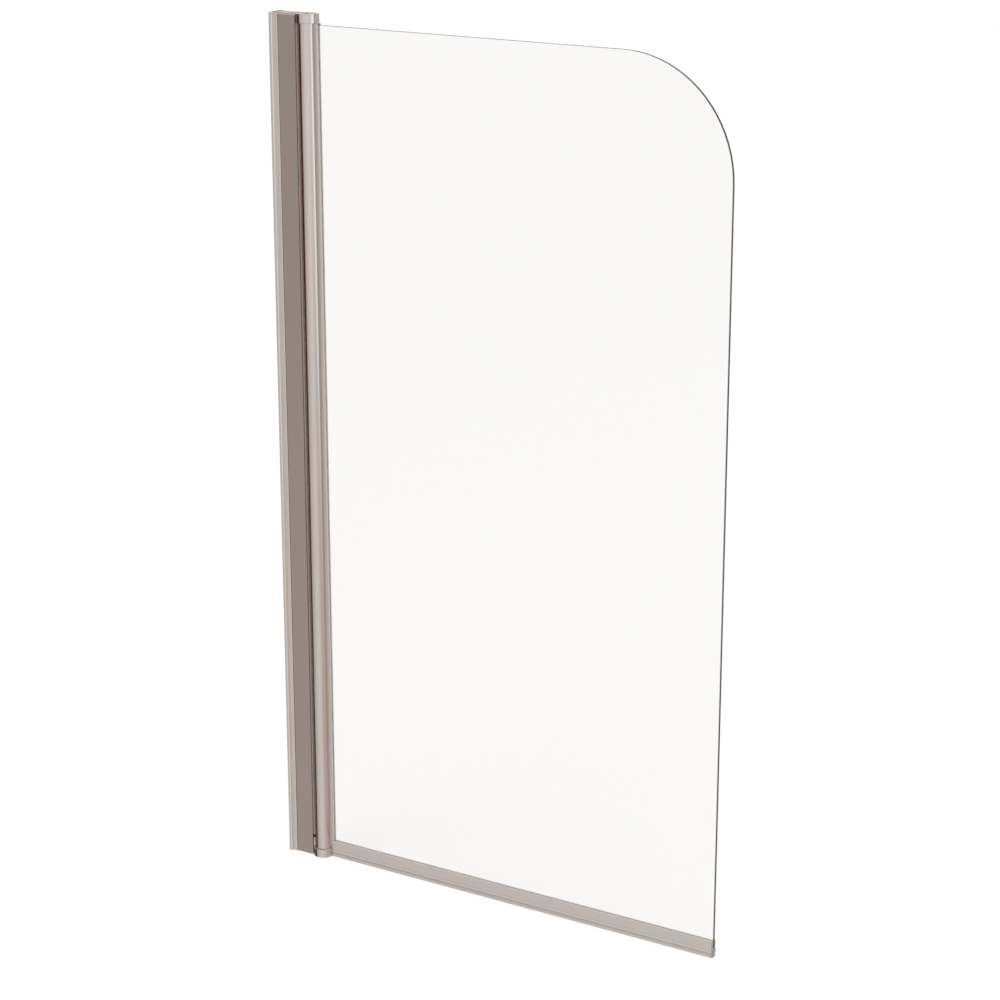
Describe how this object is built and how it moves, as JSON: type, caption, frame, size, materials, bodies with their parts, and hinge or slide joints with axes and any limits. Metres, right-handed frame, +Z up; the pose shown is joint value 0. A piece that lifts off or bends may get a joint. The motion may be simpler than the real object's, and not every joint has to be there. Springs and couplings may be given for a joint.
{
  "type": "bath screen",
  "caption": "Pivoting bath screen: clear glass panel with one rounded top corner, round hinge post, box-section wall profiles with a sliding fit, and a sealing bottom rail.",
  "frame": {"origin": "on the wall, at the bottom end of the wall channel and in the plane of the pivot, with the expander in the middle of its travel", "axes": "+X out from the wall along the closed screen, +Y towards the inside of the bath, +Z up"},
  "size_m": [0.79, 0.033, 1.4],
  "materials": {
    "profile_metal": "polished",
    "bracket_metal": "polished",
    "steel": "satin",
    "glass": "clear",
    "seal_rubber": "matte",
    "nylon": "matte",
    "moulding": "gloss"
  },
  "bodies": {
    "wall_side": {"wall_channel": "profile_metal"},
    "expander": {"expander_profile": "profile_metal", "adjust_screws": "steel", "clamp_nuts": "steel", "screw_covers": "moulding", "hinge_seal_front": "seal_rubber", "hinge_seal_rear": "seal_rubber", "bottom_bracket": "bracket_metal", "top_bracket": "bracket_metal", "bottom_bracket_screws": "steel", "top_bracket_screws": "steel", "bottom_pivot_pin": "steel", "top_pivot_pin": "steel"},
    "screen": {"hinge_post": "profile_metal", "bottom_bush": "nylon", "top_bush": "nylon", "channel_cap": "moulding", "glass_panel": "glass", "glazing_gasket_front": "seal_rubber", "glazing_gasket_rear": "seal_rubber", "bottom_rail": "profile_metal", "rail_gasket": "seal_rubber", "wiper_seal": "seal_rubber", "drip_fin": "seal_rubber", "rail_end_plug": "moulding"}
  },
  "joints": [
    {"name": "wall_adjust", "type": "slide", "parent": "wall_side", "child": "expander", "axis": [1, 0, 0], "range_m": [-0.004, 0.004]},
    {"name": "screen_pivot", "type": "hinge", "parent": "expander", "child": "screen", "pos_m": [0.0588, 0, 0], "axis": [0, 0, 1], "range_deg": [-90, 90]}
  ]
}
